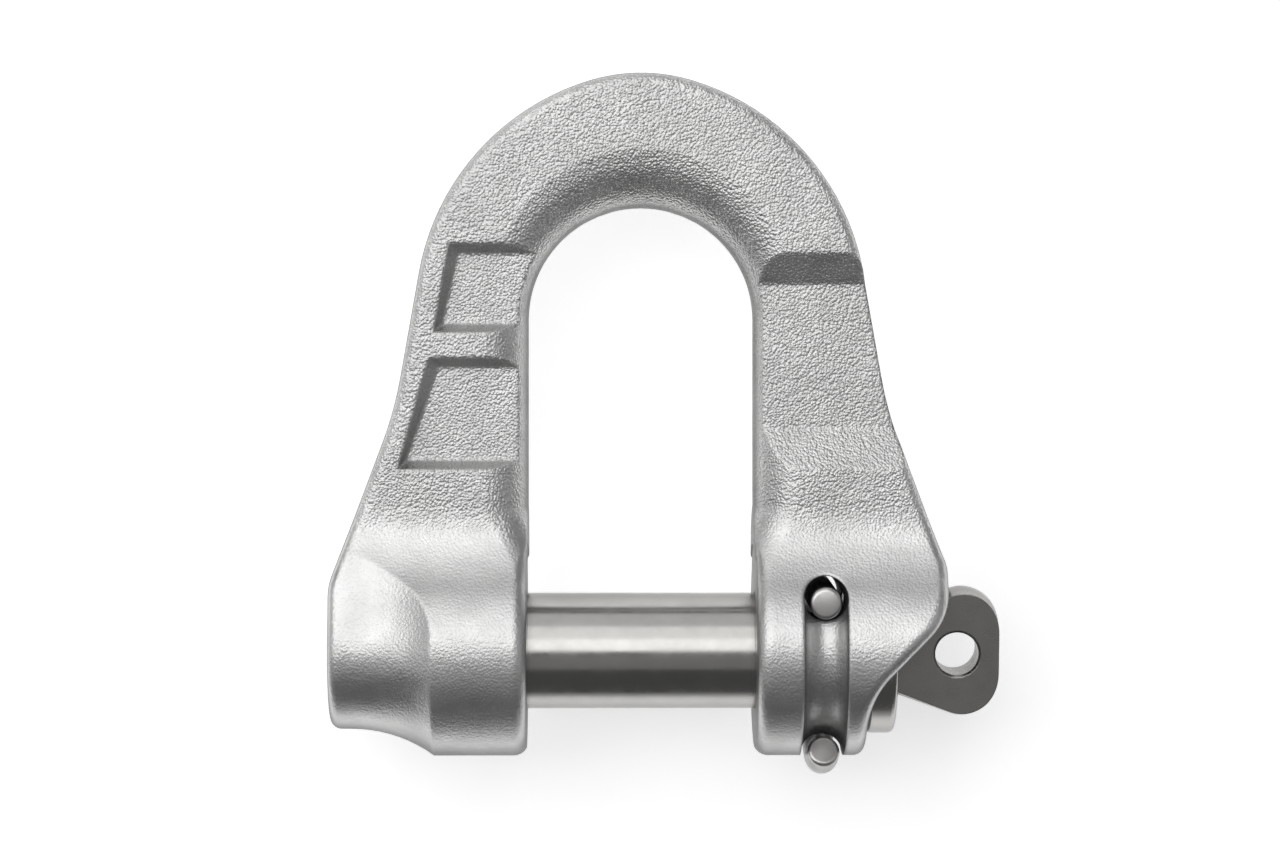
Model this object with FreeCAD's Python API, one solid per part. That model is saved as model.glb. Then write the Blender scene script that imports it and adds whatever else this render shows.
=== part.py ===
import FreeCAD, Part
import math
import os

# A shackle: a forged bow with two eyes, a load pin across the jaw, and a wire clip that locks the pin.
# Millimetres. X runs along the pin towards its lug, Y runs from the pin up to the bow's crown, and
# Z runs through the thickness, towards the side from which the clip's leg end is seen.
# The origin lies on the pin's axis, in the middle of the jaw and of the thickness.

Vec = FreeCAD.Vector
ORIGIN = Vec(0, 0, 0)
ALONG_X = Vec(1, 0, 0)
ALONG_Z = Vec(0, 0, 1)

# Load pin
PIN_DIAMETER = 16.0
PIN_TIP_CHAMFER = 1.2
PIN_TIP_INSET = 0.9
FLANGE_THICKNESS = 4.0
FLANGE_OVERHANG = 3.4
FLANGE_EDGE_ROUND = 0.8
LUG_LENGTH = 14.5
LUG_ROOT_RADIUS = 5.9
LUG_FLARE = 19.4
LUG_CORNER_ROUND = 5.0
LUG_THICKNESS = 6.0
LUG_TURN = 8.0
LUG_HOLE_DIAMETER = 6.0
LUG_HOLE_CHAMFER = 0.3
LUG_HOLE_FROM_END = 5.8

# Wire clip
WIRE_DIAMETER = 4.4
WIRE_TIP_CHAMFER = 0.5
CLIP_FROM_JAW = 9.2
CLIP_BITE = 3.2
CLIP_BEND_RADIUS = 3.3
CLIP_STANDOFF = 0.35
CLIP_TAIL_ANGLE = 26.0
CLIP_LEG_INSET = 0.4
CLIP_LEG_LEAN = 3.0

# Clearances
BORE_CLEARANCE = 0.05
FLANGE_CLEARANCE = 0.3
FLANGE_GAP = 0.1
CLIP_HOLE_CLEARANCE = 0.8
CLIP_REST_GAP = 0.12
PIN_GROOVE_GAP = 0.2
PIN_GROOVE_RADIUS = 3.1

# Jaw and bow of the body, seen from the front
JAW_WIDTH = 31.0
ARCH_HEIGHT = 45.75
CROWN_WIDTH = 18.25
CROWN_RADIUS = 24.45
SHOULDER_RADIUS = 33.65
LEG_WIDTH = 16.1
LEG_LEAN = 10.0
KNEE_BELOW_ARCH = 12.55
KNEE_RADIUS = 50.0
OUTER_EDGE_ROUND = 1.5

# Thickness of the body, seen from the side
BOW_THICKNESS = 14.5
EYE_WALL = 6.45
EYE_BLEND_RADIUS = 16.5
BOSS_WALL = 2.75
BOSS_SLOPE = 10.2
BOSS_BLEND_RADIUS = 44.0
BOSS_PROUD = 0.05

# Inner rounding of the bow and legs
LEG_ROUND = 6.4
CROWN_ROUND = 8.5
ROUND_DEPTH = 6.3
ROUND_PROUD = 0.03
ARCH_STEPS = 12
RUN_OUT_TAPER = 0.5
RUN_OUT_STEPS = 16

# Eyes
EYE_WIDTH = 15.05
SPOT_FACE_DEPTH = 0.25
EYE_CORNER_ROUND = 1.8
LEFT_EYE_WIDTH = 12.8
BOSS_LENGTH = 14.25
BOSS_SHOULDER_HEIGHT = 9.3
BOSS_CORNER_ROUND = 8.0
BOSS_SWEEP = 11.45

# Hood over the flange
HOOD_REACH = 11.0
HOOD_SHOULDER_HEIGHT = 11.8
HOOD_CUT_OFFSET = 5.9
HOOD_TOP_ROUND = 5.0
HOOD_OUTER_ROUND = 9.0
HOOD_INNER_ROUND = 10.9

# Recesses in the faces of the legs
POCKET_DEPTH = 2.4
POCKET_WALL_RUN = 1.25
POCKET_LAND = 3.45
POCKETS_RISE = 10.25
UPPER_POCKET_LENGTH = 12.2
POCKET_BRIDGE = 3.4
LOWER_POCKET_LENGTH = 15.3
RECESS_DEPTH = 2.5
RECESS_RISE = 9.05
RECESS_LENGTH = 29.6
RECESS_RAMP_RUN = 5.45
RECESS_STEP_RUN = 4.3
TOOL_OVERRUN = 1.0

# Worked out from the sizes above
PIN_RADIUS = PIN_DIAMETER / 2
WIRE_RADIUS = WIRE_DIAMETER / 2
HALF_JAW = JAW_WIDTH / 2
HALF_BOW = BOW_THICKNESS / 2
BORE_RADIUS = PIN_RADIUS + BORE_CLEARANCE
EYE_RADIUS = BORE_RADIUS + EYE_WALL
EYE_REACH = EYE_RADIUS + EYE_BLEND_RADIUS
EYE_BLEND_Y = math.sqrt(EYE_REACH ** 2 - (HALF_BOW + EYE_BLEND_RADIUS) ** 2)
EYE_TOUCH_Y = EYE_BLEND_Y * EYE_RADIUS / EYE_REACH
BOSS_RADIUS = BORE_RADIUS + BOSS_WALL
EYE_FACE = HALF_JAW + SPOT_FACE_DEPTH
RIGHT_EYE_END = EYE_FACE + EYE_WIDTH
HOOD_END = RIGHT_EYE_END + HOOD_REACH
LEFT_EYE_END = EYE_FACE + LEFT_EYE_WIDTH
BOSS_END = LEFT_EYE_END + BOSS_LENGTH
FLARE_START = LEFT_EYE_END + BOSS_SWEEP
CROWN_TOP = ARCH_HEIGHT + HALF_JAW + CROWN_WIDTH
KNEE_HEIGHT = ARCH_HEIGHT - KNEE_BELOW_ARCH
FLANGE_RADIUS = PIN_RADIUS + FLANGE_OVERHANG
COUNTERBORE_RADIUS = FLANGE_RADIUS + FLANGE_CLEARANCE
FLANGE_START = RIGHT_EYE_END + FLANGE_GAP
FLANGE_END = FLANGE_START + FLANGE_THICKNESS
LUG_END = FLANGE_END + LUG_LENGTH
LUG_HOLE_X = LUG_END - LUG_HOLE_FROM_END
CLIP_X = EYE_FACE + CLIP_FROM_JAW
CLIP_HOLE_RADIUS = WIRE_RADIUS + CLIP_HOLE_CLEARANCE
CLIP_LEG_Y = PIN_RADIUS - CLIP_BITE + WIRE_RADIUS
CLIP_HOLE_Y = CLIP_LEG_Y - WIRE_RADIUS - CLIP_REST_GAP + CLIP_HOLE_RADIUS
CLIP_TAIL_RADIUS = EYE_RADIUS + CLIP_STANDOFF
UPPER_POCKET_TOP = ARCH_HEIGHT + POCKETS_RISE
UPPER_POCKET_BOTTOM = UPPER_POCKET_TOP - UPPER_POCKET_LENGTH
LOWER_POCKET_TOP = UPPER_POCKET_BOTTOM - POCKET_BRIDGE
LOWER_POCKET_BOTTOM = LOWER_POCKET_TOP - LOWER_POCKET_LENGTH
RECESS_TOP = ARCH_HEIGHT + RECESS_RISE
RECESS_BOTTOM = RECESS_TOP - RECESS_LENGTH
PIN_GROOVE_CENTRE = PIN_RADIUS - CLIP_BITE - PIN_GROOVE_GAP + PIN_GROOVE_RADIUS
FAR = 3 * CROWN_TOP


def point(x, y, z=0.0):
    return Vec(x, y, z)


def side_point(y, z):
    return Vec(0, y, z)


def line(start, end):
    return Part.LineSegment(start, end).toShape()


def arc(start, middle, end):
    return Part.Arc(start, middle, end).toShape()


def rounded_chain(corners):
    """Edges along a list of (point, radius), with each inner corner rounded by its radius."""
    edges = []
    here = corners[0][0]
    for before, (corner, radius), after in zip(corners, corners[1:], corners[2:]):
        back = (before[0] - corner).normalize()
        ahead = (after[0] - corner).normalize()
        half_angle = back.getAngle(ahead) / 2
        reach = radius / math.tan(half_angle)
        first = corner + back * reach
        last = corner + ahead * reach
        bisector = (back + ahead).normalize()
        centre = corner + bisector * (radius / math.sin(half_angle))
        edges.append(line(here, first))
        edges.append(arc(first, centre - bisector * radius, last))
        here = last
    edges.append(line(here, corners[-1][0]))
    return edges


def prism(edges, direction):
    return Part.Face(Part.Wire(edges)).extrude(direction)


def revolve_about_x(edges):
    return Part.Face(Part.Wire(edges)).revolve(ORIGIN, ALONG_X, 360)


def mirrored(shape, normal):
    return shape.mirror(ORIGIN, normal)


def leg_outline_x(y):
    """Half the body's outer width at height y on the straight upper leg."""
    return HALF_JAW + LEG_WIDTH + (ARCH_HEIGHT - y) * math.tan(math.radians(LEG_LEAN))


def left_flare_x(y):
    """Distance of the left leg's side from the middle, at height y between the knee and the boss."""
    knee_x = leg_outline_x(KNEE_HEIGHT)
    share = (KNEE_HEIGHT - y) / (KNEE_HEIGHT - BOSS_SHOULDER_HEIGHT)
    return knee_x + (BOSS_END - knee_x) * share


def shoulder():
    """The right shoulder's arc: its end on the crown arc, its middle, and its end on the leg's side.

    Its centre lies inward of the leg's straight side by its own radius, at the one height where its
    distance from the crown's centre is the difference of the two radii, so both joints are smooth.
    """
    lean = math.radians(LEG_LEAN)
    crown_centre = point(0, CROWN_TOP - CROWN_RADIUS)
    outward = point(math.cos(lean), math.sin(lean))
    down = point(math.sin(lean), -math.cos(lean))
    foot = point(leg_outline_x(ARCH_HEIGHT), ARCH_HEIGHT) - outward * SHOULDER_RADIUS
    to_crown = crown_centre - foot
    along = to_crown.dot(down)
    across = to_crown.dot(outward)
    step = along + math.sqrt((SHOULDER_RADIUS - CROWN_RADIUS) ** 2 - across ** 2)
    centre = foot + down * step
    leg_point = centre + outward * SHOULDER_RADIUS
    crown_point = crown_centre + (crown_centre - centre).normalize() * CROWN_RADIUS
    middle = centre + ((leg_point + crown_point) / 2 - centre).normalize() * SHOULDER_RADIUS
    return crown_point, middle, leg_point


def flip(vector):
    return Vec(-vector.x, vector.y, vector.z)


def outer_prism():
    """All that lies inside the body's front outline."""
    crown_point, shoulder_middle, leg_point = shoulder()
    knee = point(leg_outline_x(KNEE_HEIGHT), KNEE_HEIGHT)
    left_side = rounded_chain([
        (flip(leg_point), 0),
        (flip(knee), KNEE_RADIUS),
        (point(-BOSS_END, BOSS_SHOULDER_HEIGHT), BOSS_CORNER_ROUND),
        (point(-BOSS_END, -2 * EYE_RADIUS), 0),
    ])
    cut_x = RIGHT_EYE_END + HOOD_CUT_OFFSET
    right_side = rounded_chain([
        (leg_point, 0),
        (knee, KNEE_RADIUS),
        (point(HOOD_END, HOOD_SHOULDER_HEIGHT), HOOD_TOP_ROUND),
        (point(HOOD_END, HOOD_END - cut_x), HOOD_OUTER_ROUND),
        (point(RIGHT_EYE_END, RIGHT_EYE_END - cut_x), HOOD_INNER_ROUND),
        (point(RIGHT_EYE_END, -2 * EYE_RADIUS), 0),
    ])
    edges = left_side + right_side
    edges.append(arc(leg_point, shoulder_middle, crown_point))
    edges.append(arc(crown_point, point(0, CROWN_TOP), flip(crown_point)))
    edges.append(arc(flip(crown_point), flip(shoulder_middle), flip(leg_point)))
    edges.append(line(point(-BOSS_END, -2 * EYE_RADIUS), point(RIGHT_EYE_END, -2 * EYE_RADIUS)))
    outline = Part.Wire(Part.__sortEdges__(edges))
    solid = Part.Face(outline).extrude(Vec(0, 0, 4 * EYE_RADIUS))
    solid.translate(Vec(0, 0, -2 * EYE_RADIUS))
    return solid


def jaw_prism():
    """The opening between the legs, round at the top."""
    floor = -2 * EYE_RADIUS
    edges = [
        line(point(-HALF_JAW, floor), point(-HALF_JAW, ARCH_HEIGHT)),
        arc(point(-HALF_JAW, ARCH_HEIGHT), point(0, ARCH_HEIGHT + HALF_JAW), point(HALF_JAW, ARCH_HEIGHT)),
        line(point(HALF_JAW, ARCH_HEIGHT), point(HALF_JAW, floor)),
        line(point(HALF_JAW, floor), point(-HALF_JAW, floor)),
    ]
    solid = prism(edges, Vec(0, 0, 4 * EYE_RADIUS))
    solid.translate(Vec(0, 0, -2 * EYE_RADIUS))
    return solid


def side_form(front_half):
    """A solid along X, from the front half of its side outline, which runs down to the round end.

    Each stretch of the outline is two points for a line, or three for an arc.
    """
    def behind(place):
        return side_point(place.y, -place.z)
    top = front_half[0][0]
    touch = front_half[-1][-1]
    stretches = front_half + [[behind(place) for place in stretch] for stretch in front_half]
    stretches.append([top, behind(top)])
    stretches.append([touch, side_point(-touch.Length, 0), behind(touch)])
    edges = [line(*stretch) if len(stretch) == 2 else arc(*stretch) for stretch in stretches]
    solid = Part.Face(Part.Wire(Part.__sortEdges__(edges))).extrude(Vec(2 * FAR, 0, 0))
    solid.translate(Vec(-FAR, 0, 0))
    return solid


def thickness_form():
    """The body's side outline: flat bow and legs, and a hollow blend onto the round eyes."""
    flat = side_point(EYE_BLEND_Y, HALF_BOW)
    middle_y = (EYE_TOUCH_Y + EYE_BLEND_Y) / 2
    middle = side_point(middle_y, eye_height(middle_y))
    touch = side_point(EYE_TOUCH_Y, eye_height(EYE_TOUCH_Y))
    return side_form([[side_point(FAR, HALF_BOW), flat], [flat, middle, touch]])


def eye_height(y):
    """Height of the eye's side outline over the middle plane, at height y above the pin."""
    if y > EYE_BLEND_Y:
        return HALF_BOW
    if y > EYE_TOUCH_Y:
        return HALF_BOW + EYE_BLEND_RADIUS - math.sqrt(EYE_BLEND_RADIUS ** 2 - (EYE_BLEND_Y - y) ** 2)
    return math.sqrt(EYE_RADIUS ** 2 - y ** 2)


def boss_bar():
    """The left boss's side outline: a round end and a long slope, blended into the flat leg."""
    slope = math.radians(BOSS_SLOPE)
    half = HALF_BOW + BOSS_PROUD
    touch = side_point(BOSS_RADIUS * math.sin(slope), BOSS_RADIUS * math.cos(slope))
    uphill = side_point(math.cos(slope), -math.sin(slope))
    corner = touch + uphill * ((touch.z - half) / math.sin(slope))
    reach = BOSS_BLEND_RADIUS * math.tan(slope / 2)
    flat = corner + side_point(reach, 0)
    sloped = corner - uphill * reach
    centre = flat + ALONG_Z * BOSS_BLEND_RADIUS
    middle = centre + (corner - centre).normalize() * BOSS_BLEND_RADIUS
    return side_form([[side_point(FAR, half), flat], [flat, middle, sloped], [sloped, touch]])


def boss_form():
    """The lower form that leaves the left boss and sweeps up to the eye in a hollow curve."""
    rise = EYE_RADIUS - BOSS_RADIUS
    hollow_radius = (BOSS_SWEEP ** 2 + rise ** 2) / (2 * rise)
    bar = boss_bar()
    wall_x = -FLARE_START + hollow_radius
    wall = Part.makeBox(FAR, 4 * FAR, 4 * FAR, Vec(wall_x, -2 * FAR, -2 * FAR))
    joined = bar.fuse(wall)
    seam = []
    for edge in joined.Edges:
        box = edge.BoundBox
        on_wall = abs(box.XMin - wall_x) < 0.001 and abs(box.XMax - wall_x) < 0.001
        near_bar = box.YMin < KNEE_HEIGHT and box.ZMax < FAR and box.ZMin > -FAR
        if on_wall and near_bar:
            seam.append(edge)
    return joined.makeFillet(hollow_radius, seam)


def is_wall(face):
    """True for a face that stands upright on the body's front outline."""
    surface = face.Surface
    if isinstance(surface, Part.Plane):
        return abs(surface.Axis.z) < 0.001
    return isinstance(surface, Part.Cylinder) and abs(surface.Axis.z) > 0.999


def rim_edges(solid, lies_inside=None):
    """The edges where an upright wall meets a front or back surface."""
    found = []
    for edge in solid.Edges:
        faces = solid.ancestorsOfType(edge, Part.Face)
        walls = [face for face in faces if is_wall(face)]
        if len(walls) == 1 and (lies_inside is None or lies_inside(walls[0])):
            found.append(edge)
    return found


def boss_end():
    """The boss bar inside the front outline with its own edges rounded, and all to the right of it."""
    def on_left(face):
        return face.BoundBox.XMax < -HALF_JAW
    bar = boss_bar().common(outer_prism()).Solids[0]
    rounded = bar.makeFillet(OUTER_EDGE_ROUND, rim_edges(bar, on_left))
    rest = Part.makeBox(2 * FAR, 4 * FAR, 4 * FAR, Vec(-FLARE_START, -2 * FAR, -2 * FAR))
    return rounded.fuse(rest)


def forged_blank():
    """The outline, the side form and the boss form in one, with its outer edges rounded.

    The eye form and the boss form are rounded each by itself before they meet, so that the edge
    between them runs out through both roundings.
    """
    solid = thickness_form().common(outer_prism()).Solids[0]
    solid = solid.makeFillet(OUTER_EDGE_ROUND, rim_edges(solid))
    return solid.common(boss_end()).common(boss_form()).Solids[0]


def with_jaw(solid):
    """The blank with its jaw cut out and the jaw's edges rounded."""
    def on_jaw(face):
        box = face.BoundBox
        return box.XMax < HALF_JAW + 0.01 and box.XMin > -HALF_JAW - 0.01
    solid = solid.cut(jaw_prism()).Solids[0]
    return solid.makeFillet(EYE_CORNER_ROUND + SPOT_FACE_DEPTH, rim_edges(solid, on_jaw))


def rounding_section(centre, outward, run):
    """What is taken off the jaw's edge at one place: a quarter ellipse and the corner above it.

    A Bezier curve of three poles is an exact quarter ellipse when its middle pole weighs root one
    half and its ends weigh one.
    """
    wall = HALF_JAW
    low = HALF_BOW + ROUND_PROUD - ROUND_DEPTH
    crest = low + ROUND_DEPTH
    high = 3 * EYE_RADIUS

    def at(distance, z):
        return centre + outward * distance + ALONG_Z * z
    curve = Part.BezierCurve()
    curve.setPoles([at(wall, low), at(wall, crest), at(wall + run, crest)])
    curve.setWeight(2, math.sqrt(0.5))
    return Part.Wire([
        curve.toShape(),
        line(at(wall + run, crest), at(wall + run, high)),
        line(at(wall + run, high), at(wall / 2, high)),
        line(at(wall / 2, high), at(wall / 2, low)),
        line(at(wall / 2, low), at(wall, low)),
    ])


def arch_rounding():
    """The rounding along the arch, deepest at the crown."""
    sections = []
    for number in range(ARCH_STEPS + 1):
        angle = math.pi * number / ARCH_STEPS
        outward = point(math.cos(angle), math.sin(angle))
        run = LEG_ROUND + (CROWN_ROUND - LEG_ROUND) * math.sin(angle) ** 2
        sections.append(rounding_section(point(0, ARCH_HEIGHT), outward, run))
    return Part.makeLoft(sections, True, False)


def leg_rounding():
    """The rounding down one leg. From the eye's blend it follows the surface and narrows to nothing."""
    start = Part.Face(rounding_section(point(0, ARCH_HEIGHT), ALONG_X, LEG_ROUND))
    straight = start.extrude(point(0, EYE_BLEND_Y - ARCH_HEIGHT))
    run_out_length = (LEG_ROUND + SPOT_FACE_DEPTH) / RUN_OUT_TAPER
    sections = []
    for number in range(RUN_OUT_STEPS + 1):
        down = run_out_length * number / RUN_OUT_STEPS
        y = EYE_BLEND_Y - down
        centre = point(-down * RUN_OUT_TAPER, y, eye_height(y) - HALF_BOW)
        sections.append(rounding_section(centre, ALONG_X, LEG_ROUND))
    return straight.fuse(Part.makeLoft(sections, True, False))


def inner_rounding():
    """All of the jaw's rounding, front and back."""
    leg = leg_rounding()
    front = arch_rounding().fuse([leg, mirrored(leg, ALONG_X)])
    return front.fuse(mirrored(front, ALONG_Z))


def sunk_tool(floor_corners, face_corners, depth):
    """A tool with a flat floor and sloping sides, for a recess in the front face.

    The sides are drawn on past the face by TOOL_OVERRUN, at the same slope.
    """
    over = TOOL_OVERRUN / depth
    floor = [point(x, y, HALF_BOW - depth) for x, y in floor_corners]
    rim = [point(x, y, HALF_BOW) for x, y in face_corners]
    outer = [top + (top - bottom) * over for bottom, top in zip(floor, rim)]
    wires = [Part.makePolygon(corners + corners[:1]) for corners in (floor, outer)]
    return Part.makeLoft(wires, True, True)


def pocket_tool(bottom, top, bottom_x, top_x):
    """A pocket in the left leg's face, open towards the jaw."""
    run = POCKET_WALL_RUN
    inside = -HALF_JAW + run
    face = [(inside, top), (-top_x, top), (-bottom_x, bottom), (inside, bottom)]
    floor = [(inside, top - run), (-top_x + run, top - run),
             (-bottom_x + run, bottom + run), (inside, bottom + run)]
    return sunk_tool(floor, face, POCKET_DEPTH)


def recess_tool():
    """The long recess across the right leg's face, with a step above and a ramp below."""
    outside = 2 * HALF_JAW + LEG_WIDTH
    inside = HALF_JAW - POCKET_WALL_RUN
    face = [(inside, RECESS_TOP), (outside, RECESS_TOP), (outside, RECESS_BOTTOM), (inside, RECESS_BOTTOM)]
    low = RECESS_BOTTOM + RECESS_RAMP_RUN
    high = RECESS_TOP - RECESS_STEP_RUN
    floor = [(inside, high), (outside, high), (outside, low), (inside, low)]
    return sunk_tool(floor, face, RECESS_DEPTH)


def face_recesses():
    upper = pocket_tool(
        UPPER_POCKET_BOTTOM, UPPER_POCKET_TOP,
        leg_outline_x(UPPER_POCKET_BOTTOM) - POCKET_LAND, leg_outline_x(UPPER_POCKET_TOP) - POCKET_LAND)
    lower = pocket_tool(
        LOWER_POCKET_BOTTOM, LOWER_POCKET_TOP,
        left_flare_x(LOWER_POCKET_BOTTOM) - POCKET_LAND, leg_outline_x(LOWER_POCKET_TOP) - POCKET_LAND)
    front = [upper, lower, recess_tool()]
    return front + [mirrored(tool, ALONG_Z) for tool in front]


def cylinder_x(radius, start_x, end_x):
    return Part.makeCylinder(radius, end_x - start_x, point(start_x, 0), ALONG_X)


def clip_hole():
    depth = 4 * EYE_RADIUS
    return Part.makeCylinder(CLIP_HOLE_RADIUS, depth, point(CLIP_X, CLIP_HOLE_Y, -depth / 2), ALONG_Z)


def clip_groove():
    """A round groove over the eye's surface, from the hole's front mouth down to its back mouth."""
    mouth_angle = math.degrees(math.acos(CLIP_HOLE_Y / EYE_RADIUS))
    circle = Part.makeCircle(CLIP_HOLE_RADIUS, point(CLIP_X, EYE_RADIUS), ALONG_Z)
    disc = Part.Face(Part.Wire([circle]))
    disc.rotate(ORIGIN, ALONG_X, mouth_angle)
    return disc.revolve(ORIGIN, ALONG_X, 360 - 2 * mouth_angle)


def shackle_body():
    solid = with_jaw(forged_blank())
    solid = solid.cut(inner_rounding())
    solid = solid.cut(face_recesses())
    machined = [
        cylinder_x(EYE_RADIUS + SPOT_FACE_DEPTH, -EYE_FACE, EYE_FACE),
        cylinder_x(BORE_RADIUS, -2 * BOSS_END, 2 * BOSS_END),
        cylinder_x(COUNTERBORE_RADIUS, RIGHT_EYE_END, 2 * BOSS_END),
        clip_hole(),
        clip_groove(),
    ]
    return solid.cut(machined).removeSplitter()


def load_pin():
    """Turned shank, groove, flange and bulb, with the bulb milled to a flat lug and drilled."""
    tip = -BOSS_END + PIN_TIP_INSET
    flare = math.tan(math.radians(LUG_FLARE))
    corner = point(LUG_END, LUG_ROOT_RADIUS + LUG_LENGTH * flare)
    shank = [
        line(point(tip, 0), point(tip, PIN_RADIUS - PIN_TIP_CHAMFER)),
        line(point(tip, PIN_RADIUS - PIN_TIP_CHAMFER), point(tip + PIN_TIP_CHAMFER, PIN_RADIUS)),
        line(point(tip + PIN_TIP_CHAMFER, PIN_RADIUS), point(FLANGE_START, PIN_RADIUS)),
    ]
    flange = rounded_chain([
        (point(FLANGE_START, PIN_RADIUS), 0),
        (point(FLANGE_START, FLANGE_RADIUS), FLANGE_EDGE_ROUND),
        (point(FLANGE_END, FLANGE_RADIUS), FLANGE_EDGE_ROUND),
        (point(FLANGE_END, LUG_ROOT_RADIUS), 0),
    ])
    lug = rounded_chain([
        (point(FLANGE_END, LUG_ROOT_RADIUS), 0),
        (corner, LUG_CORNER_ROUND),
        (point(LUG_END, 0), 0),
    ])
    axis = line(point(LUG_END, 0), point(tip, 0))
    turned = revolve_about_x(shank + flange + lug + [axis])
    groove = Part.makeTorus(PIN_GROOVE_CENTRE, PIN_GROOVE_RADIUS, point(CLIP_X, 0), ALONG_X)
    width = 4 * FLANGE_RADIUS
    slab = Part.makeBox(2 * LUG_LENGTH, width, width, point(FLANGE_END, -width / 2, LUG_THICKNESS / 2))
    hole = Part.makeCylinder(LUG_HOLE_DIAMETER / 2, width, point(LUG_HOLE_X, 0, -width / 2), ALONG_Z)
    solid = turned.cut([groove, slab, mirrored(slab, ALONG_Z), hole]).removeSplitter()
    rims = [edge for edge in solid.Edges if is_hole_rim(edge)]
    solid = solid.makeChamfer(LUG_HOLE_CHAMFER, rims)
    solid.rotate(ORIGIN, ALONG_X, LUG_TURN)
    return solid


def is_hole_rim(edge):
    """True for the round edges of the lug's hole, on the lug's flat sides."""
    if not isinstance(edge.Curve, Part.Circle):
        return False
    return abs(edge.Curve.Axis.z) > 0.999 and abs(edge.Curve.Radius - LUG_HOLE_DIAMETER / 2) < 0.001


def spring_clip():
    """Straight leg, tight bend and long tail, all of one round wire in one plane.

    The bend touches the leg, and touches the tail's circle about the pin's axis from inside.
    """
    front_z = math.sqrt(EYE_RADIUS ** 2 - CLIP_LEG_Y ** 2) - CLIP_LEG_INSET
    start = side_point(CLIP_LEG_Y, front_z)
    lean = math.radians(CLIP_LEG_LEAN)
    along = side_point(math.sin(lean), -math.cos(lean))
    inward = side_point(-math.cos(lean), -math.sin(lean))
    beside = start + inward * CLIP_BEND_RADIUS
    reach = CLIP_TAIL_RADIUS - CLIP_BEND_RADIUS
    ahead = beside.dot(along)
    leg_length = math.sqrt(ahead ** 2 - beside.Length ** 2 + reach ** 2) - ahead
    bend_centre = beside + along * leg_length
    bend_turn = math.degrees(math.atan2(-bend_centre.z, bend_centre.y))
    disc = Part.Face(Part.Wire([Part.makeCircle(WIRE_RADIUS, start, along)]))
    leg = disc.extrude(along * leg_length)
    disc.translate(along * leg_length)
    bend = disc.revolve(bend_centre, ALONG_X * -1, bend_turn + CLIP_LEG_LEAN)
    disc.rotate(bend_centre, ALONG_X * -1, bend_turn + CLIP_LEG_LEAN)
    tail = disc.revolve(ORIGIN, ALONG_X * -1, 180 - bend_turn + CLIP_TAIL_ANGLE)
    solid = leg.fuse([bend, tail]).removeSplitter()
    ends = []
    for edge in solid.Edges:
        curve = edge.Curve
        if isinstance(curve, Part.Circle) and abs(curve.Radius - WIRE_RADIUS) < 0.001:
            faces = solid.ancestorsOfType(edge, Part.Face)
            if any(isinstance(face.Surface, Part.Plane) for face in faces):
                ends.append(edge)
    solid = solid.makeChamfer(WIRE_TIP_CHAMFER, ends)
    solid.translate(point(CLIP_X, 0))
    return solid


def main():
    os.makedirs("parts", exist_ok=True)
    pieces = {
        "shackle_body": shackle_body(),
        "load_pin": load_pin(),
        "spring_clip": spring_clip(),
    }
    for name, shape in pieces.items():
        shape.exportStep("parts/" + name + ".step")
        print(name, round(shape.Volume, 1), "mm3", len(shape.Faces), "faces", shape.isValid())


main()
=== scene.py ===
"""A forged shackle with its load pin and wire clip, dressed for a studio photograph."""

import math

import bpy
from bpy.props import FloatProperty, FloatVectorProperty, IntProperty, PointerProperty
from mathutils import Matrix, Vector


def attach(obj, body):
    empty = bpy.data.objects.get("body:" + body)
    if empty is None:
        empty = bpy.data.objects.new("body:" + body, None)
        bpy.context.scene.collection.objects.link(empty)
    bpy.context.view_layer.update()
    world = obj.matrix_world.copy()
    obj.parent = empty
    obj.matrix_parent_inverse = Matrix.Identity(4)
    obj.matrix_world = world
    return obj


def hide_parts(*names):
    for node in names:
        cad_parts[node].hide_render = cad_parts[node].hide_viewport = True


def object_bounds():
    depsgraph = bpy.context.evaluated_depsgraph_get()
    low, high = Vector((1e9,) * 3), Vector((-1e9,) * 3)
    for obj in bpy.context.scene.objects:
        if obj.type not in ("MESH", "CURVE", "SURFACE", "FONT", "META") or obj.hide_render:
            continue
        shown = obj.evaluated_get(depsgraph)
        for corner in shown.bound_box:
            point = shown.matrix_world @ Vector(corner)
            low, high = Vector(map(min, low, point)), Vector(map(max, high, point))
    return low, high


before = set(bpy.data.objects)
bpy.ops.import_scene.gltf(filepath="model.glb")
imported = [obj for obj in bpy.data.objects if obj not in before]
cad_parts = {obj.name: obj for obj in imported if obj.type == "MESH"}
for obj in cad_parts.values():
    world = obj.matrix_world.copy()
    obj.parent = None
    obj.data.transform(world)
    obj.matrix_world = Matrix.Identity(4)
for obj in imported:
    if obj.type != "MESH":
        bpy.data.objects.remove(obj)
cad_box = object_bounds()

bl_info = {
    "name": "Forged shackle",
    "version": (1, 0, 0),
    "blender": (4, 5, 0),
    "location": "3D View > Sidebar > Shackle",
    "description": "Dresses a forged shackle, its load pin and its wire clip, and sets up a studio stage",
    "category": "Object",
}


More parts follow.
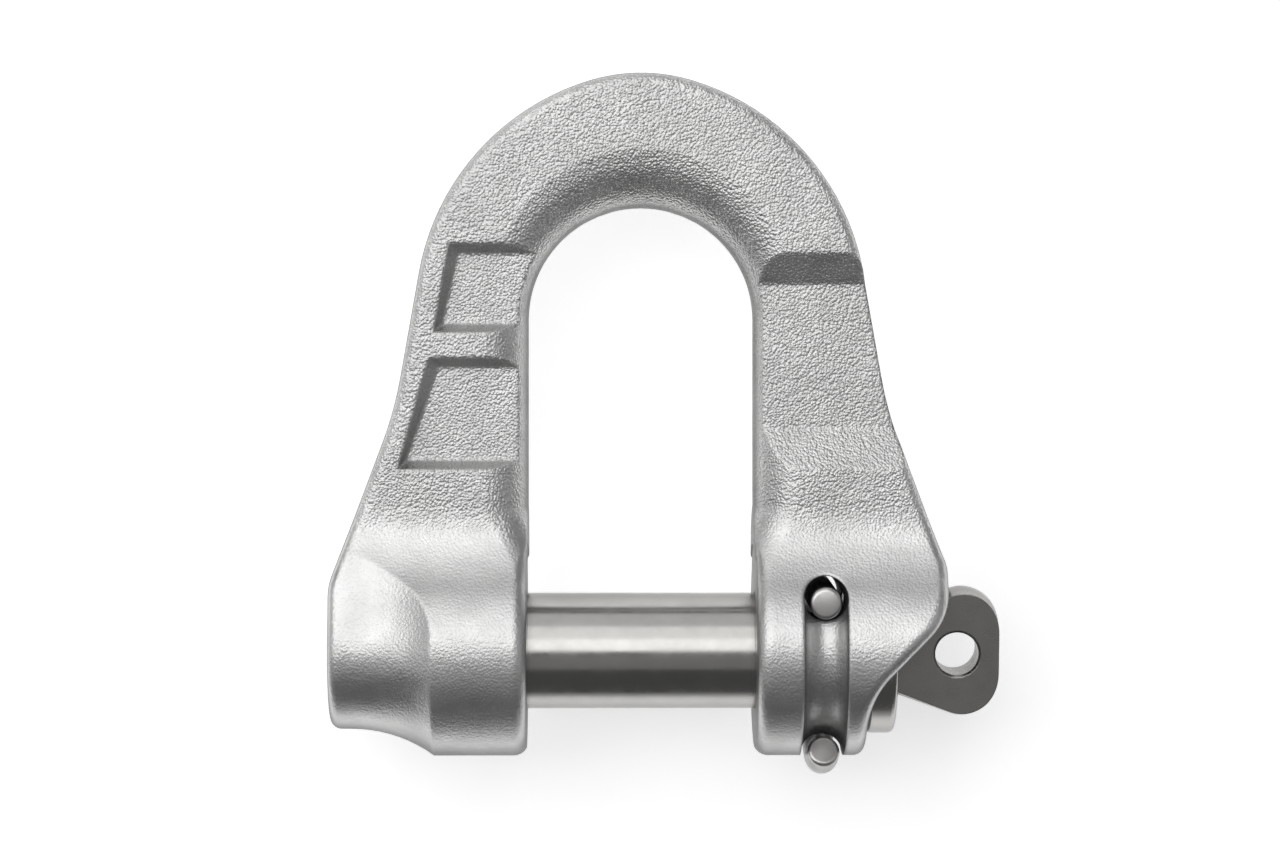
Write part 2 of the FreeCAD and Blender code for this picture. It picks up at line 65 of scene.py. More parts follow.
class BodySettings(bpy.types.PropertyGroup):
    """Finish of the forged body."""

    steel: FloatVectorProperty(
        name="Steel", description="Colour of the blasted stainless steel",
        subtype="COLOR", size=3, min=0, max=1, default=(0.70, 0.70, 0.695))
    # Painted shade: darkens the colour of the steep sides, as if they lay in shade.
    side_shade: FloatProperty(
        name="Side shade", description="How much darker the steep forged sides are than the faces",
        subtype="FACTOR", min=0, max=1, default=0.75)
    roughness: FloatProperty(
        name="Roughness", description="Roughness of the blasted surface",
        subtype="FACTOR", min=0, max=1, default=0.39)
    grain_size: FloatProperty(
        name="Grain size", description="Width of one dimple of the blasted grain",
        unit="LENGTH", subtype="DISTANCE", precision=5, default=0.00036)
    grain_depth: FloatProperty(
        name="Grain depth", description="Depth of the blasted grain on the bow",
        unit="LENGTH", subtype="DISTANCE", precision=6, default=0.00012)
    eye_grain: FloatProperty(
        name="Eye grain", description="Share of the grain's depth that is left on the eyes",
        subtype="FACTOR", min=0, max=1, default=0.3)
    edge_radius: FloatProperty(
        name="Edge radius", description="How softly the forged edges catch the light",
        unit="LENGTH", subtype="DISTANCE", precision=5, default=0.0008)
    # The clip hole's wall is darkened with painted shade.
    hole_radius: FloatProperty(
        name="Clip hole radius", description="Radius of the clip hole, whose drilled wall is darker",
        unit="LENGTH", subtype="DISTANCE", precision=5, default=0.003)
    hole_place: FloatVectorProperty(
        name="Clip hole place", description="Where the clip hole's axis crosses the pin's plane",
        unit="LENGTH", subtype="TRANSLATION", size=2, precision=5, default=(0.02495, 0.00768))


class PinSettings(bpy.types.PropertyGroup):
    """Finish of the load pin and its lug."""

    steel: FloatVectorProperty(
        name="Steel", description="Colour of the turned stainless steel",
        subtype="COLOR", size=3, min=0, max=1, default=(0.50, 0.49, 0.475))
    roughness: FloatProperty(
        name="Shank roughness", description="Roughness of the turned shank",
        subtype="FACTOR", min=0, max=1, default=0.2)
    lug_roughness: FloatProperty(
        name="Lug roughness", description="Roughness of the milled lug",
        subtype="FACTOR", min=0, max=1, default=0.28)
    lug_shade: FloatProperty(
        name="Lug shade", description="How much darker the milled lug is than the shank",
        subtype="FACTOR", min=0, max=1, default=0.25)
    # Painted shade: darkens the pin's colour where it stands upright, as if in shade.
    side_shade: FloatProperty(
        name="Side shade", description="How much darker the steel is where it stands upright",
        subtype="FACTOR", min=0, max=1, default=0.5)
    lug_start: FloatProperty(
        name="Lug start", description="Distance from the jaw's middle to the lug's root",
        unit="LENGTH", subtype="DISTANCE", precision=5, default=0.0349)
    ring_pitch: FloatProperty(
        name="Turning pitch", description="Spacing of the fine turning marks",
        unit="LENGTH", subtype="DISTANCE", precision=5, default=0.00018)


class ClipSettings(bpy.types.PropertyGroup):
    """Path and finish of the bent wire clip."""

    wire_diameter: FloatProperty(
        name="Wire diameter", description="Diameter of the clip's wire",
        unit="LENGTH", subtype="DISTANCE", precision=5, default=0.0044)
    tip_rounding: FloatProperty(
        name="Tip rounding", description="Rounding of the wire's two ends",
        unit="LENGTH", subtype="DISTANCE", precision=5, default=0.0006)
    plane: FloatProperty(
        name="Plane", description="Distance from the jaw's middle to the clip's plane",
        unit="LENGTH", subtype="DISTANCE", precision=5, default=0.02495)
    leg_height: FloatProperty(
        name="Leg height", description="Height of the straight leg above the pin's axis",
        unit="LENGTH", subtype="DISTANCE", precision=5, default=0.007)
    leg_top: FloatProperty(
        name="Leg end", description="How far the leg reaches towards the front",
        unit="LENGTH", subtype="DISTANCE", precision=5, default=0.012298)
    leg_lean: FloatProperty(
        name="Leg lean", description="Angle by which the leg leans away from the pin towards the back",
        unit="ROTATION", subtype="ANGLE", default=math.radians(3))
    bend_radius: FloatProperty(
        name="Bend radius", description="Radius of the tight bend, at the wire's middle",
        unit="LENGTH", subtype="DISTANCE", precision=5, default=0.0033)
    tail_radius: FloatProperty(
        name="Tail radius", description="Radius of the tail about the pin's axis",
        unit="LENGTH", subtype="DISTANCE", precision=5, default=0.01485)
    tail_rise: FloatProperty(
        name="Tail rise", description="Angle of the tail's end past the lowest point",
        unit="ROTATION", subtype="ANGLE", default=math.radians(26))
    sides: IntProperty(
        name="Sides", description="Number of faces round the wire", min=12, max=96, default=48)
    steel: FloatVectorProperty(
        name="Steel", description="Colour of the drawn wire",
        subtype="COLOR", size=3, min=0, max=1, default=(0.62, 0.61, 0.60))
    # Painted shade: darkens the wire's colour where it stands upright, as if in shade.
    side_shade: FloatProperty(
        name="Side shade", description="How much darker the wire is where it stands upright",
        subtype="FACTOR", min=0, max=1, default=0.5)
    cut_shade: FloatProperty(
        name="Cut shade", description="How much darker the tail's cut end is than the wire",
        subtype="FACTOR", min=0, max=1, default=0.45)
    roughness: FloatProperty(
        name="Roughness", description="Roughness of the drawn wire",
        subtype="FACTOR", min=0, max=1, default=0.32)


class StageSettings(bpy.types.PropertyGroup):
    """Floor, lights and camera."""

    floor: FloatVectorProperty(
        name="Floor", description="Colour of the floor under the object",
        subtype="COLOR", size=3, min=0, max=1, default=(0.92, 0.92, 0.92))
    floor_far: FloatVectorProperty(
        name="Far floor", description="Colour of the floor further out",
        subtype="COLOR", size=3, min=0, max=1, default=(0.75, 0.75, 0.75))
    floor_glow: FloatProperty(
        name="Floor glow", description="Light of its own that the floor adds under the object",
        min=0, max=1, default=0.58)
    floor_half_width: FloatProperty(
        name="Floor half width", description="Half the width of the white part of the floor",
        unit="LENGTH", subtype="DISTANCE", precision=4, default=0.092)
    floor_half_depth: FloatProperty(
        name="Floor half depth", description="Half the depth of the white part of the floor",
        unit="LENGTH", subtype="DISTANCE", precision=4, default=0.062)
    floor_fade: FloatProperty(
        name="Floor fade", description="Distance over which the floor turns from white to pale grey",
        unit="LENGTH", subtype="DISTANCE", precision=4, default=0.16)
    world: FloatProperty(
        name="Room level", description="Brightness of the room round the object",
        min=0, max=1, default=0.09)
    key_level: FloatProperty(
        name="Key level", description="Brightness of the soft box over the camera",
        min=0, max=10, default=1.8)
    high_level: FloatProperty(
        name="High level", description="Brightness of the soft box beyond it, over the bow",
        min=0, max=10, default=1.25)
    low_level: FloatProperty(
        name="Low level", description="Brightness of the third soft box, low beyond the bow",
        min=0, max=10, default=0.65)
    fill_level: FloatProperty(
        name="Fill level", description="Brightness of the weak box on the pin's side of the camera",
        min=0, max=10, default=0.17)
    left_level: FloatProperty(
        name="Left level", description="Brightness of the left panel",
        min=0, max=10, default=0.5)
    right_level: FloatProperty(
        name="Right level", description="Brightness of the right panel",
        min=0, max=10, default=0.25)
    light_distance: FloatProperty(
        name="Light distance", description="Distance of the soft boxes from the object",
        unit="LENGTH", subtype="DISTANCE", default=1.05)
    light_width: FloatProperty(
        name="Light width", description="Width of the soft boxes",
        unit="LENGTH", subtype="DISTANCE", default=1.5)
    light_shift: FloatProperty(
        name="Light shift", description="Place of the soft boxes' middle along X, negative to the left",
        unit="LENGTH", subtype="DISTANCE", default=-0.41)
    camera_place: FloatVectorProperty(
        name="Camera place", description="Where the camera stands",
        unit="LENGTH", subtype="TRANSLATION", size=3, default=(-0.008, 0.031, 0.525))
    camera_aim: FloatVectorProperty(
        name="Camera aim", description="The point that the camera looks at",
        unit="LENGTH", subtype="TRANSLATION", size=3, default=(-0.0001, 0.031, 0.0))
    lens: FloatProperty(
        name="Lens", description="Focal length in millimetres, on a sensor 36 mm wide",
        min=10, max=400, default=106.6)


class NodeSheet:
    """Adds nodes to one tree, sets them and joins them."""

    def __init__(self, tree):
        self.tree = tree
        self.column = 0

    def add(self, kind, inputs=None, **settings):
        made = self.tree.nodes.new(kind)
        made.location = (self.column * 190, 0)
        self.column += 1
        for name, value in settings.items():
            setattr(made, name, value)
        for name, value in (inputs or {}).items():
            if isinstance(value, bpy.types.NodeSocket):
                self.tree.links.new(value, made.inputs[name])
            else:
                made.inputs[name].default_value = value
        return made

    def math(self, operation, first, second=0.0, third=0.0):
        return self.add(
            "ShaderNodeMath", {0: first, 1: second, 2: third}, operation=operation).outputs[0]

    def ramp(self, value, low, high, to_low=0.0, to_high=1.0):
        """Value taken smoothly from low..high to to_low..to_high."""
        return self.add(
            "ShaderNodeMapRange",
            {"Value": value, "From Min": low, "From Max": high, "To Min": to_low, "To Max": to_high},
            interpolation_type="SMOOTHSTEP").outputs["Result"]

    def noise(self, vector, size, detail, roughness):
        return self.add(
            "ShaderNodeTexNoise",
            {"Vector": vector, "Scale": 1 / size, "Detail": detail, "Roughness": roughness},
            noise_dimensions="3D").outputs["Fac"]

    def pebbles(self, vector, size):
        """Height of small rounded bumps of about one size, lying at random."""
        cells = self.add(
            "ShaderNodeTexVoronoi", {"Vector": vector, "Scale": 1 / size, "Smoothness": 0.35},
            feature="SMOOTH_F1").outputs["Distance"]
        return self.math("SUBTRACT", 1.0, cells)

    def stretched(self, vector, scale):
        return self.add(
            "ShaderNodeMapping", {"Vector": vector, "Scale": scale}, vector_type="POINT").outputs["Vector"]

    def tint(self, factor, dark, light):
        return self.add(
            "ShaderNodeMix", {0: factor, 6: (*dark, 1), 7: (*light, 1)},
            data_type="RGBA").outputs[2]

    def darkened(self, colour, share):
        """Colour with the given share of it taken away."""
        return self.add(
            "ShaderNodeMix", {0: share, 6: colour, 7: (0, 0, 0, 1)}, data_type="RGBA").outputs[2]


def fresh_material(name):
    material = bpy.data.materials.new(name)
    material.use_nodes = True
    material.node_tree.nodes.clear()
    return material, NodeSheet(material.node_tree)


# Shares of a surface's facing up between which it turns from a steep side to a face, for the painted shade
# on steep sides
STEEP_FACING = (0.2, 0.62)

# Body finish, in metres: where the full grain starts above the eyes, and the forging's slow swell
GRAIN_RISE = (0.014, 0.021)
SWELL_SIZE = 0.006
SWELL_DEPTH = 0.00008
BODY_CLOUD = 0.009
BODY_SMEAR = 0.004

# The painted shade on the clip hole's wall fades out between these shares of the hole's radius
HOLE_FADE = (1.01, 1.04)

# Share of the body's colour that the painted shade takes away at its darkest, on steep walls and on the
# clip hole's wall
DARKEST = 0.8

# Pin finish, in metres
LUG_EDGE = 0.0004
MILLING_PITCH = 0.00035
PIT_SIZE = 0.0007
PIN_MARK_DEPTH = 0.000006
PIN_EDGE_RADIUS = 0.0002
PIN_CLOUD = 0.005
PIN_SMEAR = 0.003

# Wire finish, in metres
WIRE_GRAIN = 0.0004
DRAWING_PITCH = 0.0003
WIRE_MARK_DEPTH = 0.000008
WIRE_CLOUD = 0.003
WIRE_SMEAR = 0.002

# Stage, in metres
FLOOR_HALF = 2.5
LEFT_PANEL_PLACE = (-1.15, 0.1, 0.5)
LEFT_PANEL_SIZE = (0.8, 1.2)
RIGHT_PANEL_PLACE = (0.85, 0.1, 0.72)
RIGHT_PANEL_SIZE = (1.2, 1.2)

# The angles that each soft box fills, in degrees from straight up towards the bow
KEY_ANGLES = (-0.5, 24)
HIGH_ANGLES = (24, 50)
LOW_ANGLES = (50, 82)
FILL_ANGLES = (-36, -8)


def steepness(sheet, normal):
    """Mask for the painted shade: 1 on walls that stand upright as the shackle lies, 0 on faces that look
    up or down.
    """
    facing = sheet.math("ABSOLUTE", sheet.add("ShaderNodeSeparateXYZ", {"Vector": normal}).outputs["Z"])
    return sheet.ramp(facing, *STEEP_FACING, 1.0, 0.0)


def steel_shader(sheet, colour, roughness, normal):
    shader = sheet.add(
        "ShaderNodeBsdfPrincipled",
        {"Base Color": colour, "Metallic": 1.0, "Roughness": roughness, "Normal": normal})
    sheet.add("ShaderNodeOutputMaterial", {"Surface": shader.outputs["BSDF"]})


def shade(colour, factor):
    return tuple(min(1.0, channel * factor) for channel in colour)


def blasted_stainless(settings):
    """Light grey blasted steel: a fine grain on the bow, smoother on the eyes, with painted shade on steep
    sides and on the clip hole's wall.
    """
    material, sheet = fresh_material("blasted stainless")
    place = sheet.add("ShaderNodeTexCoord").outputs["Object"]
    axes = sheet.add("ShaderNodeSeparateXYZ", {"Vector": place}).outputs
    bow = sheet.ramp(axes["Y"], *GRAIN_RISE, settings.eye_grain, 1.0)

    grain = sheet.pebbles(place, settings.grain_size)
    lumps = sheet.noise(place, settings.grain_size * 0.6, 2.0, 0.5)
    waves = sheet.noise(place, SWELL_SIZE, 1.0, 0.4)
    height = sheet.math("MULTIPLY", sheet.math("MULTIPLY_ADD", lumps, 0.5, grain), bow)
    soft = sheet.add("ShaderNodeBevel", {"Radius": settings.edge_radius}, samples=8).outputs["Normal"]
    swell = sheet.add(
        "ShaderNodeBump", {"Strength": 1.0, "Distance": SWELL_DEPTH, "Height": waves, "Normal": soft})
    blast = sheet.add(
        "ShaderNodeBump",
        {"Strength": 1.0, "Distance": settings.grain_depth, "Height": height,
         "Normal": swell.outputs["Normal"]})

    # Painted shade: the colour is darkened on steep walls and on the clip hole's wall.
    off_x = sheet.math("SUBTRACT", axes["X"], settings.hole_place[0])
    off_y = sheet.math("SUBTRACT", axes["Y"], settings.hole_place[1])
    squared_y = sheet.math("POWER", off_y, 2.0)
    from_hole = sheet.math("SQRT", sheet.math("MULTIPLY_ADD", off_x, off_x, squared_y))
    wall, clear = (settings.hole_radius * share for share in HOLE_FADE)
    drilled = sheet.ramp(from_hole, wall, clear, 1.0, 0.0)
    steep = sheet.math("MULTIPLY", steepness(sheet, soft), settings.side_shade)
    shaded = sheet.math("MAXIMUM", steep, drilled)

    cloud = sheet.noise(place, BODY_CLOUD, 4.0, 0.6)
    unshaded_colour = sheet.tint(
        sheet.ramp(cloud, 0.35, 0.65), shade(settings.steel, 0.94), shade(settings.steel, 1.04))
    colour = sheet.darkened(unshaded_colour, sheet.math("MULTIPLY", shaded, DARKEST))
    smear = sheet.noise(place, BODY_SMEAR, 3.0, 0.6)
    rough = sheet.ramp(smear, 0.3, 0.7, settings.roughness - 0.03, settings.roughness + 0.04)
    rough = sheet.math("MULTIPLY_ADD", shaded, 0.2, rough)
    steel_shader(sheet, colour, rough, blast.outputs["Normal"])
    return material


def turned_stainless(settings):
    """Smooth turned steel with fine rings, and a satin milled lug beyond the flange, with painted shade
    where it stands upright.
    """
    material, sheet = fresh_material("turned stainless")
    place = sheet.add("ShaderNodeTexCoord").outputs["Object"]
    axes = sheet.add("ShaderNodeSeparateXYZ", {"Vector": place}).outputs
    lug = sheet.ramp(axes["X"], settings.lug_start - LUG_EDGE, settings.lug_start + LUG_EDGE)

    rings = sheet.noise(
        sheet.stretched(place, (1.0, 0.02, 0.02)), settings.ring_pitch, 3.0, 0.6)
    milled = sheet.noise(sheet.stretched(place, (0.06, 1.0, 1.0)), MILLING_PITCH, 3.0, 0.6)
    pits = sheet.noise(place, PIT_SIZE, 3.0, 0.6)
    marks = sheet.add("ShaderNodeMix", {0: lug, 2: rings, 3: milled}, data_type="FLOAT").outputs[0]
    height = sheet.math("MULTIPLY_ADD", pits, 0.8, marks)
    soft = sheet.add("ShaderNodeBevel", {"Radius": PIN_EDGE_RADIUS}, samples=6).outputs["Normal"]
    bump = sheet.add(
        "ShaderNodeBump", {"Strength": 1.0, "Distance": PIN_MARK_DEPTH, "Height": height, "Normal": soft})

    cloud = sheet.noise(place, PIN_CLOUD, 4.0, 0.6)
    colour = sheet.tint(
        sheet.ramp(cloud, 0.3, 0.7), shade(settings.steel, 0.95), shade(settings.steel, 1.03))
    # Painted shade where the steel stands upright; the milled lug is also darkened.
    milled_shade = sheet.math("MULTIPLY", lug, settings.lug_shade)
    steep = sheet.math("MULTIPLY", steepness(sheet, soft), settings.side_shade)
    colour = sheet.darkened(colour, sheet.math("MAXIMUM", milled_shade, steep))
    smear = sheet.ramp(sheet.noise(place, PIN_SMEAR, 3.0, 0.65), 0.3, 0.7, -0.03, 0.04)
    base = sheet.ramp(lug, 0.0, 1.0, settings.roughness, settings.lug_roughness)
    steel_shader(sheet, colour, sheet.math("ADD", base, smear), bump.outputs["Normal"])
    return material


def drawn_wire(settings):
    """Satin drawn wire with faint lines along it, and painted shade where it stands upright."""
    material, sheet = fresh_material("drawn wire")
    place = sheet.add("ShaderNodeTexCoord").outputs["Object"]
    cut = sheet.add("ShaderNodeAttribute", attribute_name="cut").outputs["Fac"]
    fine = sheet.noise(place, WIRE_GRAIN, 3.0, 0.6)
    lines = sheet.noise(sheet.stretched(place, (1.0, 0.15, 0.15)), DRAWING_PITCH, 2.0, 0.5)
    height = sheet.math("ADD", fine, lines)
    bump = sheet.add("ShaderNodeBump", {"Strength": 1.0, "Distance": WIRE_MARK_DEPTH, "Height": height})
    colour = sheet.tint(
        sheet.ramp(sheet.noise(place, WIRE_CLOUD, 3.0, 0.6), 0.3, 0.7),
        shade(settings.steel, 0.93), shade(settings.steel, 1.04))
    # Painted shade where the wire stands upright; the tail's cut end is also darkened.
    normal = sheet.add("ShaderNodeNewGeometry").outputs["Normal"]
    steep = sheet.math("MULTIPLY", steepness(sheet, normal), settings.side_shade)
    sheared = sheet.math("MULTIPLY", cut, settings.cut_shade)
    colour = sheet.darkened(colour, sheet.math("MAXIMUM", steep, sheared))
    smear = sheet.noise(place, WIRE_SMEAR, 2.0, 0.5)
    rough = sheet.ramp(smear, 0.3, 0.7, settings.roughness - 0.04, settings.roughness + 0.05)
    rough = sheet.math("MULTIPLY_ADD", cut, 0.2, rough)
    steel_shader(sheet, colour, rough, bump.outputs["Normal"])
    return material


def put_material(piece, material):
    piece.data.materials.clear()
    piece.data.materials.append(material)


# Places along a tip's rounding, from the end of the wire to where it has its full width
TIP_SHARES = (0.0, 0.08, 0.25, 0.5, 1.0)
BEND_STEPS = 20
TAIL_STEPS = 64


def wire_path(settings):
    """Points along the clip's middle line, and the wire's width at each as a share of full width."""
    rounding = settings.tip_rounding
    along = Vector((0, math.sin(settings.leg_lean), -math.cos(settings.leg_lean)))
    inward = Vector((0, along.z, -along.y))
    start = Vector((0, settings.leg_height, settings.leg_top))
    beside = start + inward * settings.bend_radius
    reach = settings.tail_radius - settings.bend_radius
    ahead = beside.dot(along)
    leg_length = math.sqrt(ahead ** 2 - beside.length_squared + reach ** 2) - ahead
    centre = beside + along * leg_length
    tail_start = math.atan2(centre.z, centre.y)
    tail_sweep = math.pi + tail_start + settings.tail_rise

    def around(middle, radius, angle):
        return middle + Vector((0, math.cos(angle), math.sin(angle))) * radius

    points = [start + along * rounding * share for share in TIP_SHARES]
    points.append(start + along * leg_length)
    for step in range(1, BEND_STEPS + 1):
        angle = settings.leg_lean + (tail_start - settings.leg_lean) * step / BEND_STEPS
        points.append(around(centre, settings.bend_radius, angle))
    sweeps = [tail_sweep * step / TAIL_STEPS for step in range(1, TAIL_STEPS)]
    sweeps += [tail_sweep - rounding * share / settings.tail_radius for share in TIP_SHARES]
    points += [around(Vector(), settings.tail_radius, tail_start - sweep) for sweep in sorted(sweeps)]
    points = [point + Vector((settings.plane, 0, 0)) for point in points]

    narrowing = rounding / (settings.wire_diameter / 2)
    ends = [1 - narrowing * (1 - math.sqrt(share * (2 - share))) for share in TIP_SHARES]
    middle = [1.0] * (len(points) - 2 * len(ends))
    return points, ends + middle + ends[::-1]


def wire_tree():
    """Geometry nodes that sweep a round section along a path, closed at both ends."""
    tree = bpy.data.node_groups.new("Swept wire", "GeometryNodeTree")
    tree.interface.new_socket("Path", in_out="INPUT", socket_type="NodeSocketGeometry")
    tree.interface.new_socket("Wire radius", in_out="INPUT", socket_type="NodeSocketFloat")
    tree.interface.new_socket("Sides", in_out="INPUT", socket_type="NodeSocketInt")
    tree.interface.new_socket("Finish", in_out="INPUT", socket_type="NodeSocketMaterial")
    tree.interface.new_socket("Wire", in_out="OUTPUT", socket_type="NodeSocketGeometry")
    sheet = NodeSheet(tree)
    given = sheet.add("NodeGroupInput").outputs
    curve = sheet.add("GeometryNodeMeshToCurve", {"Mesh": given["Path"]})
    share = sheet.add("GeometryNodeInputNamedAttribute", {"Name": "width"}, data_type="FLOAT")
    section = sheet.add(
        "GeometryNodeCurvePrimitiveCircle", {"Radius": given["Wire radius"], "Resolution": given["Sides"]})
    swept = sheet.add(
        "GeometryNodeCurveToMesh",
        {"Curve": curve.outputs["Curve"], "Profile Curve": section.outputs["Curve"],
         "Scale": share.outputs["Attribute"], "Fill Caps": True})
    smooth = sheet.add("GeometryNodeSetShadeSmooth", {"Geometry": swept.outputs["Mesh"]})
    real = sheet.add("GeometryNodeRealizeInstances", {"Geometry": smooth.outputs["Geometry"]})
    painted = sheet.add(
        "GeometryNodeSetMaterial", {"Geometry": real.outputs["Geometry"], "Material": given["Finish"]})
    sheet.add("NodeGroupOutput", {"Wire": painted.outputs["Geometry"]})
    return tree


def set_inputs(modifier, values):
    """Modifier inputs by the socket's identifier, before the object is first evaluated."""
    for item in modifier.node_group.interface.items_tree:
        if item.in_out == "INPUT" and item.name in values:
            modifier[item.identifier] = values[item.name]


def as_plain_mesh(piece):
    """Turns the object's evaluated geometry into its own mesh and drops its modifiers."""
    bpy.context.view_layer.update()
    seen = piece.evaluated_get(bpy.context.evaluated_depsgraph_get())
    mesh = bpy.data.meshes.new_from_object(seen)
    piece.modifiers.clear()
    piece.data = mesh


def bent_wire(settings, material):
    points, widths = wire_path(settings)
    edges = [(number, number + 1) for number in range(len(points) - 1)]
    mesh = bpy.data.meshes.new("spring clip wire")
    mesh.from_pydata(points, edges, [])
    mesh.attributes.new("width", "FLOAT", "POINT").data.foreach_set("value", widths)
    cuts = [0.0] * (len(points) - 1) + [1.0]
    mesh.attributes.new("cut", "FLOAT", "POINT").data.foreach_set("value", cuts)
    piece = bpy.data.objects.new("spring_clip_wire", mesh)
    bpy.context.scene.collection.objects.link(piece)
    modifier = piece.modifiers.new("Swept wire", "NODES")
    modifier.node_group = wire_tree()
    set_inputs(modifier, {
        "Wire radius": settings.wire_diameter / 2, "Sides": settings.sides, "Finish": material})
    as_plain_mesh(piece)
    piece.data.set_sharp_from_angle(angle=math.radians(30))
    return piece


def soft_box(name, place, aim, width, height, level):
    """An area light of a given brightness of face, in plain units."""
    lamp = bpy.data.lights.new(name, "AREA")
    lamp.shape = "RECTANGLE"
    lamp.size = width
    lamp.size_y = height
    lamp.energy = math.pi * width * height * level
    holder = bpy.data.objects.new(name, lamp)
    bpy.context.scene.collection.objects.link(holder)
    holder.location = place
    holder.rotation_euler = (Vector(aim) - Vector(place)).to_track_quat("-Z", "Y").to_euler()
    holder.visible_camera = False


def overhead(name, settings, low, high, level):
    """A wide soft box over the angles low to high, in degrees from straight up towards the bow."""
    middle = math.radians((low + high) / 2)
    spread = math.radians((high - low) / 2)
    distance = settings.light_distance
    aim = Vector((settings.light_shift, settings.camera_aim[1], 0))
    place = aim + Vector((0, math.sin(middle), math.cos(middle))) * distance
    soft_box(name, place, aim, settings.light_width, 2 * distance * math.tan(spread), level)


def looking(place, aim):
    """Where a camera stands that looks from place to aim, with the bow's crown at the top."""
    back = (place - aim).normalized()
    right = Vector((0, 1, 0)).cross(back).normalized()
    up = back.cross(right)
    turned = Matrix((right, up, back)).transposed()
    return Matrix.Translation(place) @ turned.to_4x4()


def floor_material(settings):
    """A plain floor, white round the object and pale grey further out."""
    material, sheet = fresh_material("plain floor")
    place = sheet.add("ShaderNodeTexCoord").outputs["Object"]
    axes = sheet.add("ShaderNodeSeparateXYZ", {"Vector": place}).outputs
    across_x = ("X", 0.0, settings.floor_half_width)
    along_y = ("Y", settings.camera_aim[1], settings.floor_half_depth)
    beyond = []
    for axis, centre, half in (across_x, along_y):
        offset = sheet.math("ABSOLUTE", sheet.math("SUBTRACT", axes[axis], centre))
        beyond.append(sheet.math("MAXIMUM", sheet.math("SUBTRACT", offset, half), 0.0))
    across = sheet.math("MULTIPLY", beyond[0], beyond[0])
    distance = sheet.math("SQRT", sheet.math("MULTIPLY_ADD", beyond[1], beyond[1], across))
    far = sheet.ramp(distance, 0.0, settings.floor_fade)
    glow = sheet.math("MULTIPLY_ADD", far, -settings.floor_glow, settings.floor_glow)
    shader = sheet.add(
        "ShaderNodeBsdfPrincipled",
        {"Base Color": sheet.tint(far, settings.floor, settings.floor_far), "Roughness": 0.9,
         "Specular IOR Level": 0.0, "Emission Color": (1, 1, 1, 1), "Emission Strength": glow})
    sheet.add("ShaderNodeOutputMaterial", {"Surface": shader.outputs["BSDF"]})
    return material


def floor_plane(height, half):
    mesh = bpy.data.meshes.new("floor")
    corners = [(-half, -half, height), (half, -half, height), (half, half, height), (-half, half, height)]
    mesh.from_pydata(corners, [], [(0, 1, 2, 3)])
    floor = bpy.data.objects.new("floor", mesh)
    bpy.context.scene.collection.objects.link(floor)
    return floor


class SHACKLE_OT_body(bpy.types.Operator):
    """Gives the forged body its blasted stainless finish"""

    bl_idname = "shackle.body"
    bl_label = "Forged body"

    def execute(self, context):
        material = blasted_stainless(context.scene.shackle_body)
        put_material(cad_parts["shackle_body"], material)
        return {"FINISHED"}


class SHACKLE_OT_pin(bpy.types.Operator):
    """Gives the load pin its turned finish and the lug its milled one"""

    bl_idname = "shackle.pin"
    bl_label = "Load pin"

    def execute(self, context):
        material = turned_stainless(context.scene.shackle_pin)
        put_material(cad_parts["load_pin"], material)
        return {"FINISHED"}


class SHACKLE_OT_clip(bpy.types.Operator):
    """Bends the wire clip along its path and gives it a satin finish"""

    bl_idname = "shackle.clip"
    bl_label = "Wire clip"

    def execute(self, context):
        settings = context.scene.shackle_clip
        material = drawn_wire(settings)
        piece = bent_wire(settings, material)
        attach(piece, "clip")
        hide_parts("spring_clip")
        return {"FINISHED"}


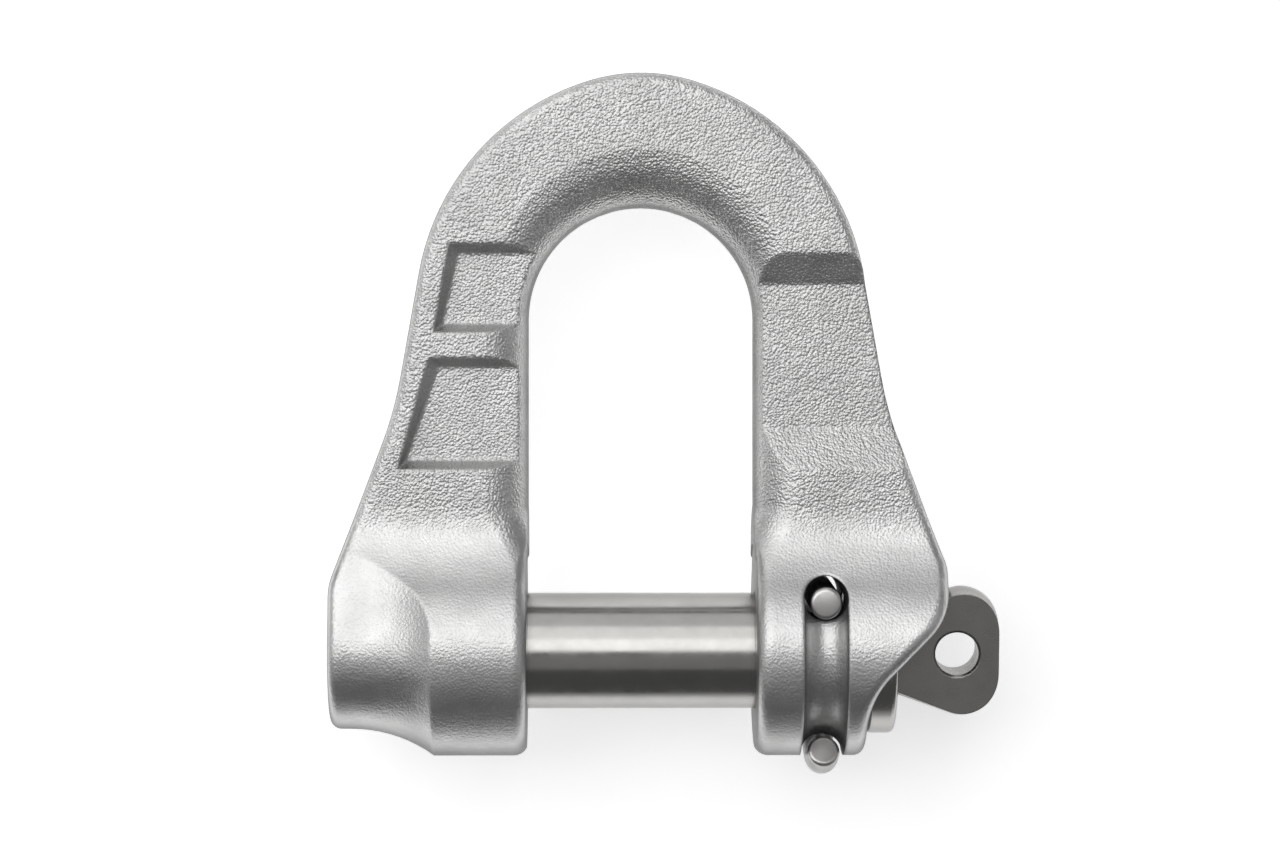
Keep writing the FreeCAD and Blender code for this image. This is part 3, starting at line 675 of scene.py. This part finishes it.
class SHACKLE_OT_stage(bpy.types.Operator):
    """Sets up the floor, the soft studio lights and the camera"""

    bl_idname = "shackle.stage"
    bl_label = "Studio stage"

    def execute(self, context):
        settings = context.scene.shackle_stage
        scene = context.scene
        scene.view_settings.view_transform = "Standard"

        floor = floor_plane(cad_box[0].z, FLOOR_HALF)
        put_material(floor, floor_material(settings))

        world = bpy.data.worlds.new("room")
        world.use_nodes = True
        world.node_tree.nodes["Background"].inputs["Color"].default_value = (1, 1, 1, 1)
        world.node_tree.nodes["Background"].inputs["Strength"].default_value = settings.world
        scene.world = world

        aim = (0, settings.camera_aim[1], 0)
        overhead("key box", settings, *KEY_ANGLES, settings.key_level)
        overhead("high box", settings, *HIGH_ANGLES, settings.high_level)
        overhead("low box", settings, *LOW_ANGLES, settings.low_level)
        overhead("fill box", settings, *FILL_ANGLES, settings.fill_level)
        soft_box("left panel", LEFT_PANEL_PLACE, aim, *LEFT_PANEL_SIZE, settings.left_level)
        soft_box("right panel", RIGHT_PANEL_PLACE, aim, *RIGHT_PANEL_SIZE, settings.right_level)

        lens = bpy.data.cameras.new("camera")
        lens.sensor_width = 36
        lens.lens = settings.lens
        lens.clip_start = 0.01
        camera = bpy.data.objects.new("camera", lens)
        scene.collection.objects.link(camera)
        place = Vector(settings.camera_place)
        camera.matrix_world = looking(place, Vector(settings.camera_aim))
        scene.camera = camera
        return {"FINISHED"}


class SHACKLE_PT_panel(bpy.types.Panel):
    """Lists the shackle's pieces and stage"""

    bl_idname = "SHACKLE_PT_panel"
    bl_label = "Forged shackle"
    bl_space_type = "VIEW_3D"
    bl_region_type = "UI"
    bl_category = "Shackle"

    def draw(self, context):
        for operator, group in STEPS:
            box = self.layout.box()
            box.operator(operator.bl_idname)
            settings = getattr(context.scene, group)
            for name in settings.bl_rna.properties.keys():
                if name not in ("rna_type", "name"):
                    box.prop(settings, name)


GROUPS = {
    "shackle_body": BodySettings,
    "shackle_pin": PinSettings,
    "shackle_clip": ClipSettings,
    "shackle_stage": StageSettings,
}
STEPS = [
    (SHACKLE_OT_body, "shackle_body"),
    (SHACKLE_OT_pin, "shackle_pin"),
    (SHACKLE_OT_clip, "shackle_clip"),
    (SHACKLE_OT_stage, "shackle_stage"),
]
CLASSES = [*GROUPS.values(), *(operator for operator, group in STEPS), SHACKLE_PT_panel]


def register():
    for made in CLASSES:
        bpy.utils.register_class(made)
    for name, group in GROUPS.items():
        setattr(bpy.types.Scene, name, PointerProperty(type=group))


def unregister():
    for name in GROUPS:
        delattr(bpy.types.Scene, name)
    for made in reversed(CLASSES):
        bpy.utils.unregister_class(made)


def main():
    register()
    bpy.ops.shackle.body()
    bpy.ops.shackle.pin()
    bpy.ops.shackle.clip()
    bpy.ops.shackle.stage()


if __name__ == "__main__":
    main()
